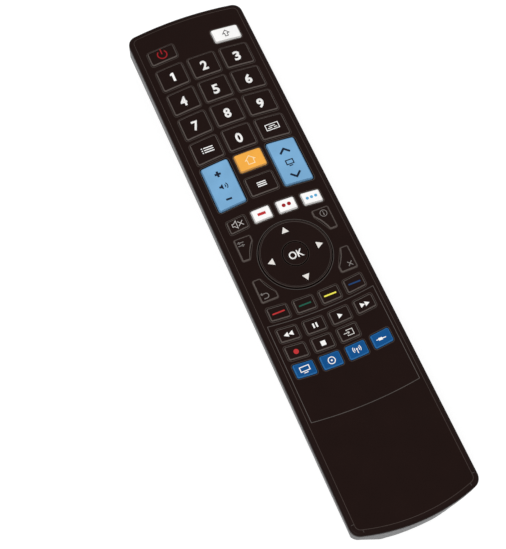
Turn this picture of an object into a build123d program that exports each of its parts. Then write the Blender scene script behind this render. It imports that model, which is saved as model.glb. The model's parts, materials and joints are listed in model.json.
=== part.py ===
"""Universal remote control: black face and frame on a grey lower shell, with every key a piece of its own.

Millimetres. +X is to the right and +Y towards the infrared end, as the keys are read, and +Z is up.
The origin is under the middle of the body, on the surface that the remote lies on.
"""
from build123d import *
import math
import os

os.makedirs("parts", exist_ok=True)

# Body
BODY_WIDTH = 48.0
BODY_LENGTH = 215.8
FACE_Z = 20.0
FRONT_END_RADIUS = 140.0
BATTERY_END_RADIUS = 73.0
CORNER_RADIUS = 4.0
SMALLEST_CORNER = 1.2
OVERRUN = 2.0
FIT = 0.05
SEAT_GAP = 0.1

# Upper frame and front panel
FRAME_DEPTH = 2.2
FRAME_EDGE_RADIUS = 1.0
BEZEL = 2.05
LEDGE = 1.55
PANEL_THICKNESS = 1.6
PANEL_BOTTOM = FACE_Z - PANEL_THICKNESS
JOINT_Z = FACE_Z - FRAME_DEPTH

# Lower shell: its sides stand upright under the frame, then curve in to a flat base
SKIN = 1.9
BASE_HALF_WIDTH = 10.0
FRONT_WALL_DROP = 4.5
BATTERY_WALL_DROP = 0.4
FRONT_KEEL_RADIUS = 8.0
BATTERY_END_WALL = 5.0
BATTERY_END_REACH = 6.0
KEEL_OVERRUN = 0.4
FRONT_BASE_CORNER = 6.0
BATTERY_BASE_CORNER = 20.0

# Two AAA cells side by side, and the bay that holds them
CELL_RADIUS = 5.25
CELL_LENGTH = 44.5
CELL_NUB_RADIUS = 1.9
CELL_NUB = 0.9
CELL_EDGE = 0.4
CELL_SIDE_GAP = 0.4
CELL_X = CELL_RADIUS + CELL_SIDE_GAP
BAY_SIDE_GAP = 0.5
BAY_HALF_WIDTH = CELL_X + CELL_RADIUS + BAY_SIDE_GAP
BAY_END_WALL = 3.9
CELL_END_ROOM = 2.5
BAY_LENGTH = CELL_LENGTH + CELL_END_ROOM
BAY_WALL = 1.5
BAY_PARTITION = 1.25
CHAMBER_LENGTH = 6.1
BAY_ROOF = 1.0
BAY_HEADROOM = 0.2
COVER_CLEARANCE = 0.3

# Stack under the panel, from the keys down to the circuit board
MAT_DEPTH = 2.1
MAT_TOP = PANEL_BOTTOM - MAT_DEPTH
MAT_THICKNESS = 0.8
BOARD_THICKNESS = 1.2
BOARD_TOP = MAT_TOP - MAT_THICKNESS
BOARD_BOTTOM = BOARD_TOP - BOARD_THICKNESS
MAT_INSET = 2.2
BOARD_INSET = 2.6

# Keys
KEY_PROUD = 0.5
KEY_TOP = FACE_Z + KEY_PROUD
KEY_GAP = 0.25
KEY_EDGE = 0.4
KEY_CORNER = 0.9
SMALL_KEY_CORNER = 0.7
FLANGE_LIP = 0.3
FLANGE_THICKNESS = 0.8
FLANGE_TOP = PANEL_BOTTOM - FIT
FLANGE_BOTTOM = FLANGE_TOP - FLANGE_THICKNESS
DOME_TAPER = 25.0
DOME_SIZE_SHARE = 0.62

# Key layout. Rows bow away from the navigation pad, on arcs of one radius. Widths are shares of the body's
# width. Heights are shares of the field, the length that the battery bay and its chamber leave free.
FIELD_LENGTH = BODY_LENGTH - BAY_END_WALL - BAY_LENGTH - BAY_PARTITION - CHAMBER_LENGTH
PAD_SHARE = 0.70898
PAD_Y = BODY_LENGTH / 2 - PAD_SHARE * FIELD_LENGTH
ARCH_RADIUS = 160.0
WIDE_PITCH = BODY_WIDTH * 0.28021
WIDE_KEY = BODY_WIDTH * 0.22917
SMALL_PITCH = BODY_WIDTH * 0.20688
SMALL_COLUMN_SHARES = (-1.5, -0.5, 0.5, 1.5)
SMALL_KEY = BODY_WIDTH * 0.15417
SMALL_KEY_HEIGHT = FIELD_LENGTH * 0.033
POWER_ROW_Y = FIELD_LENGTH * 0.6233
POWER_KEY_HEIGHT = FIELD_LENGTH * 0.0397
DIGIT_ROW_Y = FIELD_LENGTH * 0.5541
DIGIT_PITCH = FIELD_LENGTH * 0.0738
DIGIT_KEY_HEIGHT = FIELD_LENGTH * 0.0603
HOME_Y = FIELD_LENGTH * 0.265
HOME_HEIGHT = FIELD_LENGTH * 0.0492
MENU_Y = FIELD_LENGTH * 0.1964
MENU_HEIGHT = FIELD_LENGTH * 0.0501
APP_ROW_Y = FIELD_LENGTH * 0.1231
COLOUR_ROW_Y = FIELD_LENGTH * -0.1231
TRANSPORT_ROW_Y = FIELD_LENGTH * -0.178
RECORD_ROW_Y = FIELD_LENGTH * -0.2225
MODE_ROW_Y = FIELD_LENGTH * -0.2675

# Volume and channel rockers
ROCKER_Y = FIELD_LENGTH * 0.2307
ROCKER_WIDTH = BODY_WIDTH * 0.23333
ROCKER_HEIGHT = FIELD_LENGTH * 0.1215
ROCKER_GAP = 0.45
LOW_SEAT_RISE = 0.7
LOW_SEAT_Z = MAT_TOP + LOW_SEAT_RISE
ROCKER_FLANGE = 0.6
ROCKER_RIB_SHARE = 0.54
ROCKER_DOME_SHARE = 0.63

# Navigation ring, its rocking washer and the OK key
RING_HOLE_RADIUS = min(BODY_WIDTH * 0.2875, FIELD_LENGTH * 0.0876)
RING_GAP = 0.45
RING_RADIUS = RING_HOLE_RADIUS - RING_GAP
RING_LIP = 0.5
RING_FLANGE_RADIUS = RING_HOLE_RADIUS + RING_LIP
RING_BORE = RING_HOLE_RADIUS * 0.362
RING_HUB_RADIUS = RING_HOLE_RADIUS * 0.6
RING_FLANGE = 0.55
RING_SKIRT = 1.35
RING_CROWN = 1.4
RING_EDGE = 0.2
RING_RIM = 0.7
RING_RIM_RISE = 0.2
PLUNGER_RADIUS = 1.2
PLUNGER_CIRCLE = RING_HOLE_RADIUS * 0.739
RIDGE_RADIUS = 0.45
OK_GAP = 0.4
OK_RADIUS = RING_BORE - OK_GAP
OK_LIP = 0.6
OK_FLANGE_RADIUS = RING_BORE + OK_LIP
OK_FLANGE = 0.55
OK_DOME_SHARE = 0.56
WASHER_THICKNESS = 0.8
WASHER_INNER_GAP = 0.5
WASHER_INNER_RADIUS = OK_FLANGE_RADIUS + WASHER_INNER_GAP
WASHER_OUTER_GAP = 0.3
WASHER_OUTER_RADIUS = RING_HUB_RADIUS - WASHER_OUTER_GAP

# Wedge keys round the navigation pad
WEDGE_SIDE = BODY_WIDTH * 0.39375
WEDGE_INNER = BODY_WIDTH * 0.25729
WEDGE_TOP = FIELD_LENGTH * 0.0844
WEDGE_BOTTOM = FIELD_LENGTH * 0.026
WEDGE_RING_GAP = 2.6
WEDGE_DOME = 2.4

# Battery cover and the slot it slides in
COVER_THICKNESS = 1.85
COVER_SIDE_LAP = 1.0
COVER_HALF_WIDTH = BAY_HALF_WIDTH + COVER_SIDE_LAP
COVER_TONGUE = 1.0
RAIL_LIP = 1.0
RAIL_TOP = 1.5
RAIL_SIDE = 1.7
COVER_END_LAP = 1.85
GRIP_COUNT = 5
GRIP_PITCH = 2.2
GRIP_WIDTH = 0.9
GRIP_DEPTH = 0.5
GRIP_LENGTH = 13.0
GRIP_SETBACK = 14.0

# Battery contacts
CONTACT_THICKNESS = 0.3
CONTACT_SIZE = 8.0
BOW_HALF_HEIGHT = 3.0
BOW_WIDTH = 5.0

# Jack socket for the 3.5 mm programming lead, and the chamber that it opens into
JACK_WIDTH = 6.0
JACK_LENGTH = 5.8
JACK_HEADROOM = 0.5
JACK_TOP = PANEL_BOTTOM - JACK_HEADROOM
JACK_BORE_RADIUS = 1.8
JACK_BORE_DEPTH = 14.3
CHAMBER_ROOF_Z = 9.6

# Case screws, up through the chamber into bosses on the panel
SCREW_X = 8.4
SCREW_HEAD_RADIUS = 2.2
SCREW_HEAD = 1.5
SCREW_RADIUS = 1.0
SCREW_TIP_DEPTH = 1.4
SCREW_TIP_Z = PANEL_BOTTOM - SCREW_TIP_DEPTH
SCREW_CLEARANCE = 0.2
SCREW_RECESS_RADIUS = 1.1
SCREW_RECESS_WIDTH = 0.5
SCREW_RECESS_DEPTH = 0.8
BOSS_RADIUS = 2.3

# Circuit board and what it carries on its underside
BOARD_OVERHANG = 0.8
POST_RADIUS = 1.8
POST_X = BODY_WIDTH / 3
POST_ROW_SHARES = (-0.13, 0.075, 0.26, 0.42)
CHIP_Y = FIELD_LENGTH * 0.216
CHIP_WIDTH = 7.5
CHIP_LENGTH = 15.0
CHIP_HEIGHT = 2.0
CHIP_STANDOFF = 0.3
CHIP_LEG = 0.45
CHIP_LEG_REACH = 1.3
CHIP_LEG_PITCH = 1.8
CHIP_LEGS = 8
CAPACITOR_X = 6.0
CAPACITOR_Y = FIELD_LENGTH * 0.394
CAPACITOR_RADIUS = 2.5
CAPACITOR_LENGTH = 11.0
CAPACITOR_EDGE = 0.5
WIRE = 0.5

# Infrared window and diodes at the front end
WINDOW_WIDTH = BODY_WIDTH * 0.375
WINDOW_LOW = 8.6
WINDOW_HIGH = 15.4
LED_X = 4.5
LED_Z = 11.3
LED_RADIUS = 2.5
LED_RIM_RADIUS = 2.9
LED_RIM = 1.0
LED_BODY = 5.6
LED_GAP = 0.3
LED_LEAD_SPREAD = 1.27
LED_LEAD_RUN = 2.0


def sagitta(radius, half_chord):
    """Height of an arc over its chord."""
    return radius - math.sqrt(radius**2 - half_chord**2)


def body_outline(inset, front_corner=CORNER_RADIUS, battery_corner=CORNER_RADIUS):
    """Plan outline of the body, moved in by inset: straight sides, arched ends, rounded corners."""
    half = BODY_WIDTH / 2 - inset
    end = BODY_LENGTH / 2 - inset
    front_y = end - sagitta(FRONT_END_RADIUS - inset, half)
    battery_y = sagitta(BATTERY_END_RADIUS - inset, half) - end
    with BuildSketch() as outline:
        with BuildLine():
            ThreePointArc((-half, front_y), (0, end), (half, front_y))
            Line((half, front_y), (half, battery_y))
            ThreePointArc((half, battery_y), (0, -end), (-half, battery_y))
            Line((-half, battery_y), (-half, front_y))
        make_face()
        battery_corners = outline.vertices().sort_by(Axis.Y)[:2]
        fillet(battery_corners, radius=max(battery_corner - inset, SMALLEST_CORNER))
        front_corners = outline.vertices().sort_by(Axis.Y)[-2:]
        fillet(front_corners, radius=max(front_corner - inset, SMALLEST_CORNER))
    return outline.sketch


def outline_plate(inset, low, high):
    """Plate of the body's outline between two heights."""
    with BuildPart() as plate:
        with BuildSketch(Plane.XY.offset(low)):
            add(body_outline(inset))
        extrude(amount=high - low)
    return plate.part


def hull(inset, top):
    """Boat-shaped body of the lower shell, moved in by inset, up to the height top.

    Its cross-section changes along the length: upright sides that are tall at the infrared end and
    short at the battery end, each running into a quarter ellipse that meets the flat base. Both ends
    are upright down to the keel's height. Below it the corners grow rounder towards the base, and the
    battery end curves in.
    """
    half = BODY_WIDTH / 2 - inset
    end = BODY_LENGTH / 2 - inset
    with BuildPart() as trough:
        for y, wall_drop in ((BODY_LENGTH / 2, FRONT_WALL_DROP), (-BODY_LENGTH / 2, BATTERY_WALL_DROP)):
            wall_end = JOINT_Z - wall_drop
            across = half - BASE_HALF_WIDTH
            down = wall_end - inset
            with BuildSketch(Plane.XZ.offset(-y)):
                with BuildLine():
                    Line((-BASE_HALF_WIDTH, inset), (BASE_HALF_WIDTH, inset))
                    EllipticalCenterArc(
                        (BASE_HALF_WIDTH, wall_end), across, down, start_angle=270, arc_size=90
                    )
                    Line((half, wall_end), (half, top))
                    Line((half, top), (-half, top))
                    Line((-half, top), (-half, wall_end))
                    EllipticalCenterArc(
                        (-BASE_HALF_WIDTH, wall_end), across, down, start_angle=180, arc_size=90
                    )
                make_face()
        loft(ruled=True)
    keel_top = JOINT_Z - BATTERY_END_WALL
    with BuildPart() as column:
        with BuildSketch():
            add(body_outline(inset, FRONT_BASE_CORNER, BATTERY_BASE_CORNER))
        with BuildSketch(Plane.XY.offset(keel_top)):
            add(body_outline(inset))
        loft(ruled=True)
        with BuildSketch(Plane.XY.offset(keel_top)):
            add(body_outline(inset))
        extrude(amount=top - keel_top)
    keel_start = BATTERY_END_REACH - end
    keel_end = end + KEEL_OVERRUN
    reach = keel_start + keel_end
    down = keel_top - inset
    with BuildPart() as body:
        with BuildSketch(Plane.YZ) as side:
            with BuildLine():
                EllipticalCenterArc((keel_start, keel_top), reach, down, start_angle=180, arc_size=90)
                Line((keel_start, inset), (keel_end, inset))
                Line((keel_end, inset), (keel_end, top))
                Line((keel_end, top), (-keel_end, top))
                Line((-keel_end, top), (-keel_end, keel_top))
            make_face()
            front_keel = side.vertices().group_by(Axis.Y)[0].sort_by(Axis.X)[-1]
            fillet(front_keel, radius=FRONT_KEEL_RADIUS - inset)
        extrude(amount=half + OVERRUN, both=True)
        add(trough.part, mode=Mode.INTERSECT)
        add(column.part, mode=Mode.INTERSECT)
    return body.part


def arched_y(x, middle_y, bow):
    """Height of a row's arc at x. The arc passes the middle line at middle_y; bow is 1 or -1."""
    return middle_y - bow * sagitta(ARCH_RADIUS, x)


def arched_corners(x, y, width, height, bow, grow):
    """Four corners of a key in an arched row, anticlockwise from the upper left."""
    left = x - width / 2 - grow
    right = x + width / 2 + grow
    high = PAD_Y + y + height / 2 + grow
    low = PAD_Y + y - height / 2 - grow
    return (
        (left, arched_y(left, high, bow)),
        (left, arched_y(left, low, bow)),
        (right, arched_y(right, low, bow)),
        (right, arched_y(right, high, bow)),
    )


def arched_outline(x, y, width, height, bow, corner, grow):
    """Outline of a key in an arched row, with its upper and lower edges on the row's arcs."""
    high_left, low_left, low_right, high_right = arched_corners(x, y, width, height, bow, grow)
    low = arched_y(x, PAD_Y + y - height / 2 - grow, bow)
    high = arched_y(x, PAD_Y + y + height / 2 + grow, bow)
    with BuildSketch() as outline:
        with BuildLine():
            Line(high_left, low_left)
            ThreePointArc(low_left, (x, low), low_right)
            Line(low_right, high_right)
            ThreePointArc(high_right, (x, high), high_left)
        make_face()
        fillet(outline.vertices(), radius=corner + grow)
    return outline.sketch


def wedge_corners(side, end, grow):
    """Five corners of a wedge key. Side and end are 1 or -1 and pick the quarter of the pad."""
    outer = WEDGE_SIDE + grow
    inner = WEDGE_INNER - grow
    top = WEDGE_TOP + grow
    bottom = WEDGE_BOTTOM - grow
    arc = RING_HOLE_RADIUS + WEDGE_RING_GAP - grow
    corners = (
        (outer, top),
        (inner, top),
        (inner, math.sqrt(arc**2 - inner**2)),
        (math.sqrt(arc**2 - bottom**2), bottom),
        (outer, bottom),
    )
    return [(side * x, PAD_Y + end * y) for x, y in corners]


def wedge_outline(side, end, grow):
    """Outline of a wedge key: its inner edge follows the navigation ring."""
    corners = wedge_corners(side, end, grow)
    arc = RING_HOLE_RADIUS + WEDGE_RING_GAP - grow
    start_angle = math.acos((WEDGE_INNER - grow) / arc)
    end_angle = math.asin((WEDGE_BOTTOM - grow) / arc)
    middle_angle = (start_angle + end_angle) / 2
    middle = (side * arc * math.cos(middle_angle), PAD_Y + end * arc * math.sin(middle_angle))
    with BuildSketch() as outline:
        with BuildLine():
            Line(corners[0], corners[1])
            Line(corners[1], corners[2])
            ThreePointArc(corners[2], middle, corners[3])
            Line(corners[3], corners[4])
            Line(corners[4], corners[0])
        make_face()
        fillet(outline.vertices(), radius=SMALL_KEY_CORNER + grow)
    return outline.sketch


# Rows of plain keys: names, columns, row height, key width, key height, bow and corner radius
wide_columns = (-WIDE_PITCH, 0.0, WIDE_PITCH)
small_columns = tuple(SMALL_PITCH * share for share in SMALL_COLUMN_SHARES)
digit_rows = (
    ("key_1", "key_2", "key_3"),
    ("key_4", "key_5", "key_6"),
    ("key_7", "key_8", "key_9"),
    ("guide_key", "key_0", "subtitle_key"),
)
key_rows = [
    (("power_key", "shift_key"), (-WIDE_PITCH, WIDE_PITCH), POWER_ROW_Y, WIDE_KEY, POWER_KEY_HEIGHT, 1),
    (("home_key",), (0.0,), HOME_Y, WIDE_KEY, HOME_HEIGHT, 1),
    (("menu_key",), (0.0,), MENU_Y, WIDE_KEY, MENU_HEIGHT, 1),
]
for step, names in enumerate(digit_rows):
    row_y = DIGIT_ROW_Y - step * DIGIT_PITCH
    key_rows.append((names, wide_columns, row_y, WIDE_KEY, DIGIT_KEY_HEIGHT, 1))
small_rows = (
    (("mute_key", "app_key_1", "app_key_2", "app_key_3"), APP_ROW_Y, 1),
    (("red_key", "green_key", "yellow_key", "blue_key"), COLOUR_ROW_Y, -1),
    (("rewind_key", "pause_key", "play_key", "fast_forward_key"), TRANSPORT_ROW_Y, -1),
    (("record_key", "stop_key", "source_key"), RECORD_ROW_Y, -1),
    (("tv_mode_key", "disc_mode_key", "tuner_mode_key", "aux_mode_key"), MODE_ROW_Y, -1),
)
for names, row_y, bow in small_rows:
    key_rows.append((names, small_columns, row_y, SMALL_KEY, SMALL_KEY_HEIGHT, bow))

wedge_keys = {
    "tools_key": (-1, 1),
    "info_key": (1, 1),
    "return_key": (-1, -1),
    "exit_key": (1, -1),
}
rocker_columns = {"volume_rocker": -WIDE_PITCH, "channel_rocker": WIDE_PITCH}

panel_holes = []
dome_pads = []


def plain_key(name, cap_outline, flange_corners):
    """Key cap that slides straight down, with a flange that keeps it under the panel."""
    with BuildPart() as key:
        with BuildSketch(Plane.XY.offset(FLANGE_BOTTOM)):
            with BuildLine():
                Polyline(*flange_corners, close=True)
            make_face()
        extrude(amount=FLANGE_THICKNESS)
        with BuildSketch(Plane.XY.offset(FLANGE_TOP)):
            add(cap_outline)
        extrude(amount=KEY_TOP - FLANGE_TOP)
        chamfer(key.faces().sort_by(Axis.Z)[-1].edges(), length=KEY_EDGE)
    key.part.label = name
    export_step(key.part, f"parts/{name}.step")


# Plain keys in arched rows
for names, columns, row_y, width, height, bow in key_rows:
    corner = SMALL_KEY_CORNER if width == SMALL_KEY else KEY_CORNER
    for name, x in zip(names, columns):
        outline = arched_outline(x, row_y, width, height, bow, corner, 0)
        flange = arched_corners(x, row_y, width, height, bow, KEY_GAP + FLANGE_LIP)
        plain_key(name, outline, flange)
        panel_holes.append(arched_outline(x, row_y, width, height, bow, corner, KEY_GAP))
        dome_pads.append((x, arched_y(x, PAD_Y + row_y, bow), width, height))

# Wedge keys
for name, (side, end) in wedge_keys.items():
    plain_key(name, wedge_outline(side, end, 0), wedge_corners(side, end, KEY_GAP + FLANGE_LIP))
    panel_holes.append(wedge_outline(side, end, KEY_GAP))
    dome_y = PAD_Y + end * (WEDGE_TOP + WEDGE_BOTTOM) / 2
    dome_x = side * (WEDGE_SIDE - WEDGE_DOME)
    dome_pads.append((dome_x, dome_y, WEDGE_DOME / DOME_SIZE_SHARE, (WEDGE_TOP - WEDGE_BOTTOM) / 2))

# Volume and channel rockers, each on a half-round rib across its middle
for name, x in rocker_columns.items():
    middle_y = arched_y(x, PAD_Y + ROCKER_Y, 1)
    lip = ROCKER_GAP + FLANGE_LIP
    with BuildPart() as rocker:
        with BuildSketch(Plane.XY.offset(LOW_SEAT_Z)):
            with BuildLine():
                Polyline(*arched_corners(x, ROCKER_Y, ROCKER_WIDTH, ROCKER_HEIGHT, 1, lip), close=True)
            make_face()
        extrude(amount=ROCKER_FLANGE)
        with BuildSketch(Plane.XY.offset(LOW_SEAT_Z + ROCKER_FLANGE)):
            add(arched_outline(x, ROCKER_Y, ROCKER_WIDTH, ROCKER_HEIGHT, 1, KEY_CORNER, 0))
        extrude(amount=KEY_TOP - LOW_SEAT_Z - ROCKER_FLANGE)
        chamfer(rocker.faces().sort_by(Axis.Z)[-1].edges(), length=KEY_EDGE)
        with BuildSketch(Plane.YZ.offset(x)):
            with Locations((middle_y, LOW_SEAT_Z)):
                Circle(LOW_SEAT_Z - MAT_TOP)
        extrude(amount=ROCKER_WIDTH * ROCKER_RIB_SHARE / 2, both=True)
    rocker.part.label = name
    export_step(rocker.part, f"parts/{name}.step")
    panel_holes.append(arched_outline(x, ROCKER_Y, ROCKER_WIDTH, ROCKER_HEIGHT, 1, KEY_CORNER, ROCKER_GAP))

# Navigation ring: a channel turned round its bore, with a flange, a hub and four plungers
ring_underside = MAT_TOP + 2 * RIDGE_RADIUS + WASHER_THICKNESS
ring_hollow_top = KEY_TOP - RING_CROWN
rim_top = KEY_TOP + RING_RIM_RISE
skirt_inner_radius = RING_RADIUS - RING_SKIRT
with BuildPart() as nav_ring:
    with BuildSketch(Plane.XZ.offset(-PAD_Y)):
        with BuildLine():
            Polyline(
                (RING_BORE, ring_underside),
                (RING_HUB_RADIUS, ring_underside),
                (RING_HUB_RADIUS, ring_hollow_top),
                (skirt_inner_radius, ring_hollow_top),
                (skirt_inner_radius, LOW_SEAT_Z),
                (RING_FLANGE_RADIUS, LOW_SEAT_Z),
                (RING_FLANGE_RADIUS, LOW_SEAT_Z + RING_FLANGE),
                (RING_RADIUS, LOW_SEAT_Z + RING_FLANGE),
                (RING_RADIUS, KEY_TOP),
                (RING_RADIUS - RING_RIM_RISE, rim_top),
                (RING_RADIUS - RING_RIM + RING_RIM_RISE, rim_top),
                (RING_RADIUS - RING_RIM, KEY_TOP),
                (RING_BORE + RING_EDGE, KEY_TOP),
                (RING_BORE, KEY_TOP - RING_EDGE),
                close=True,
            )
        make_face()
    revolve(axis=Axis((0, PAD_Y, 0), (0, 0, 1)))
    with BuildSketch(Plane.XY.offset(LOW_SEAT_Z)):
        with Locations((0, PAD_Y)):
            with PolarLocations(PLUNGER_CIRCLE, 4):
                Circle(PLUNGER_RADIUS)
    extrude(amount=ring_hollow_top - LOW_SEAT_Z)
nav_ring.part.label = "nav_ring"
export_step(nav_ring.part, "parts/nav_ring.step")

# Rocking washer under the ring: it tips about X on its lower ridges and carries the ring on its upper ones
washer_bottom = MAT_TOP + RIDGE_RADIUS
washer_top = washer_bottom + WASHER_THICKNESS
washer_middle_radius = (WASHER_INNER_RADIUS + WASHER_OUTER_RADIUS) / 2
ridge_half_length = (WASHER_OUTER_RADIUS - WASHER_INNER_RADIUS) / 2 - FIT
with BuildPart() as nav_washer:
    with BuildSketch(Plane.XY.offset(washer_bottom)):
        with Locations((0, PAD_Y)):
            Circle(WASHER_OUTER_RADIUS)
            Circle(WASHER_INNER_RADIUS, mode=Mode.SUBTRACT)
    extrude(amount=WASHER_THICKNESS)
    for side in (-1, 1):
        with BuildSketch(Plane.YZ.offset(side * washer_middle_radius)):
            with Locations((PAD_Y, washer_bottom)):
                Circle(RIDGE_RADIUS)
        extrude(amount=ridge_half_length, both=True)
        with BuildSketch(Plane.XZ.offset(-PAD_Y - side * washer_middle_radius)):
            with Locations((0, washer_top)):
                Circle(RIDGE_RADIUS)
        extrude(amount=ridge_half_length, both=True)
nav_washer.part.label = "nav_washer"
export_step(nav_washer.part, "parts/nav_washer.step")

# OK key in the middle of the ring
with BuildPart() as ok_key:
    with BuildSketch(Plane.XY.offset(LOW_SEAT_Z)):
        with Locations((0, PAD_Y)):
            Circle(OK_FLANGE_RADIUS)
    extrude(amount=OK_FLANGE)
    with BuildSketch(Plane.XY.offset(LOW_SEAT_Z + OK_FLANGE)):
        with Locations((0, PAD_Y)):
            Circle(OK_RADIUS)
    extrude(amount=KEY_TOP - LOW_SEAT_Z - OK_FLANGE)
    chamfer(ok_key.faces().sort_by(Axis.Z)[-1].edges(), length=RING_EDGE)
ok_key.part.label = "ok_key"
export_step(ok_key.part, "parts/ok_key.step")

# Places along the battery end, from the end wall to the cover's inner edge
body_end = -BODY_LENGTH / 2
bay_start = body_end + BAY_END_WALL
bay_end = bay_start + BAY_LENGTH
chamber_start = bay_end + BAY_PARTITION
chamber_end = chamber_start + CHAMBER_LENGTH
cover_end = chamber_end + COVER_END_LAP
jack_place = (0, (chamber_start + chamber_end) / 2)
screw_places = [(side * SCREW_X, jack_place[1]) for side in (-1, 1)]
bay_ceiling = COVER_THICKNESS + COVER_CLEARANCE + 2 * CELL_RADIUS + BAY_HEADROOM
bay_block_top = bay_ceiling + BAY_ROOF

# Front panel: the black plate of the face, with a hole for every key and two screw bosses below
boss_bottom = bay_block_top + SEAT_GAP
with BuildPart() as front_panel:
    with BuildSketch(Plane.XY.offset(PANEL_BOTTOM)):
        add(body_outline(BEZEL + FIT))
        for hole in panel_holes:
            add(hole, mode=Mode.SUBTRACT)
        with Locations((0, PAD_Y)):
            Circle(RING_HOLE_RADIUS, mode=Mode.SUBTRACT)
    extrude(amount=PANEL_THICKNESS)
    with BuildSketch(Plane.XY.offset(boss_bottom)):
        with Locations(*screw_places):
            Circle(BOSS_RADIUS)
    extrude(amount=PANEL_BOTTOM - boss_bottom)
    with BuildSketch(Plane.XY.offset(boss_bottom)):
        with Locations(*screw_places):
            Circle(SCREW_RADIUS + FIT)
    extrude(amount=SCREW_TIP_Z + SEAT_GAP - boss_bottom, mode=Mode.SUBTRACT)
front_panel.part.label = "front_panel"
export_step(front_panel.part, "parts/front_panel.step")

# Upper frame: the rim round the panel, the ledge that carries it, and a tongue that enters the lower shell
tongue_outer = SKIN + SEAT_GAP
opening_inset = BEZEL + LEDGE
with BuildPart() as upper_frame:
    add(outline_plate(0, JOINT_Z, FACE_Z))
    fillet(upper_frame.faces().sort_by(Axis.Z)[-1].edges(), radius=FRAME_EDGE_RADIUS)
    add(outline_plate(tongue_outer, MAT_TOP, JOINT_Z))
    add(outline_plate(BEZEL, PANEL_BOTTOM, FACE_Z + OVERRUN), mode=Mode.SUBTRACT)
    add(outline_plate(opening_inset, MAT_TOP - OVERRUN, FACE_Z), mode=Mode.SUBTRACT)
upper_frame.part.label = "upper_frame"
export_step(upper_frame.part, "parts/upper_frame.step")

# Silicone mat: a sheet with a tapered dome under each key, two under each rocker and four under the ring
with BuildPart() as keypad_mat:
    with BuildSketch(Plane.XY.offset(BOARD_TOP)):
        add(body_outline(MAT_INSET))
        with Locations((0, chamber_end)):
            Rectangle(BODY_WIDTH, BODY_LENGTH, align=(Align.CENTER, Align.MAX), mode=Mode.SUBTRACT)
    extrude(amount=MAT_THICKNESS)
    with BuildSketch(Plane.XY.offset(MAT_TOP)):
        for x, y, width, height in dome_pads:
            with Locations((x, y)):
                Rectangle(width * DOME_SIZE_SHARE, height * DOME_SIZE_SHARE)
    extrude(amount=FLANGE_BOTTOM - MAT_TOP, taper=DOME_TAPER)
    with BuildSketch(Plane.XY.offset(MAT_TOP)):
        for x in rocker_columns.values():
            with Locations((x, arched_y(x, PAD_Y + ROCKER_Y, 1))):
                with GridLocations(ROCKER_WIDTH, ROCKER_HEIGHT * ROCKER_DOME_SHARE, 1, 2):
                    Rectangle(ROCKER_WIDTH * DOME_SIZE_SHARE, SMALL_KEY_HEIGHT * DOME_SIZE_SHARE)
        with Locations((0, PAD_Y)):
            with PolarLocations(PLUNGER_CIRCLE, 4):
                Rectangle(2 * PLUNGER_RADIUS, 2 * PLUNGER_RADIUS)
            Circle(OK_RADIUS * OK_DOME_SHARE)
    extrude(amount=LOW_SEAT_Z - MAT_TOP, taper=DOME_TAPER)
keypad_mat.part.label = "keypad_mat"
export_step(keypad_mat.part, "parts/keypad_mat.step")

# Circuit board, with a cut-out for the jack socket and holes for the bosses
with BuildPart() as circuit_board:
    with BuildSketch(Plane.XY.offset(BOARD_BOTTOM)):
        add(body_outline(BOARD_INSET))
        with Locations((0, bay_end - BOARD_OVERHANG)):
            Rectangle(BODY_WIDTH, BODY_LENGTH, align=(Align.CENTER, Align.MAX), mode=Mode.SUBTRACT)
        with Locations(jack_place):
            Rectangle(JACK_WIDTH + 2 * SEAT_GAP, JACK_LENGTH + 2 * SEAT_GAP, mode=Mode.SUBTRACT)
        with Locations(*screw_places):
            Circle(BOSS_RADIUS + SEAT_GAP, mode=Mode.SUBTRACT)
    extrude(amount=BOARD_THICKNESS)
circuit_board.part.label = "circuit_board"
export_step(circuit_board.part, "parts/circuit_board.step")

# Controller chip under the board, with two rows of legs
chip_top = BOARD_BOTTOM - CHIP_STANDOFF
chip_middle = chip_top - CHIP_HEIGHT / 2
with BuildPart() as controller_chip:
    with BuildSketch(Plane.XY.offset(chip_top)):
        with Locations((0, PAD_Y + CHIP_Y)):
            Rectangle(CHIP_WIDTH, CHIP_LENGTH)
    extrude(amount=-CHIP_HEIGHT)
    with BuildSketch(Plane.XY.offset(chip_middle)):
        with Locations((0, PAD_Y + CHIP_Y)):
            with GridLocations(CHIP_WIDTH, CHIP_LEG_PITCH, 2, CHIP_LEGS):
                Rectangle(2 * CHIP_LEG_REACH, CHIP_LEG)
            Rectangle(CHIP_WIDTH, CHIP_LENGTH, mode=Mode.SUBTRACT)
    extrude(amount=BOARD_BOTTOM - chip_middle)
controller_chip.part.label = "controller_chip"
export_step(controller_chip.part, "parts/controller_chip.step")

# Storage capacitor, lying under the board on its two leads
capacitor_z = BOARD_BOTTOM - CAPACITOR_RADIUS - SEAT_GAP
capacitor_end = PAD_Y + CAPACITOR_Y
with BuildPart() as capacitor:
    with BuildSketch(Plane.XZ.offset(-capacitor_end)):
        with Locations((CAPACITOR_X, capacitor_z)):
            Circle(CAPACITOR_RADIUS)
    extrude(amount=-CAPACITOR_LENGTH)
    chamfer(capacitor.edges().filter_by(GeomType.CIRCLE), length=CAPACITOR_EDGE)
    with BuildSketch(Plane.XY.offset(capacitor_z)):
        with Locations((CAPACITOR_X, capacitor_end - WIRE)):
            with GridLocations(CAPACITOR_RADIUS, 0, 2, 1):
                Rectangle(WIRE, 2 * WIRE)
    extrude(amount=BOARD_BOTTOM - capacitor_z)
capacitor.part.label = "capacitor"
export_step(capacitor.part, "parts/capacitor.step")

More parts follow.
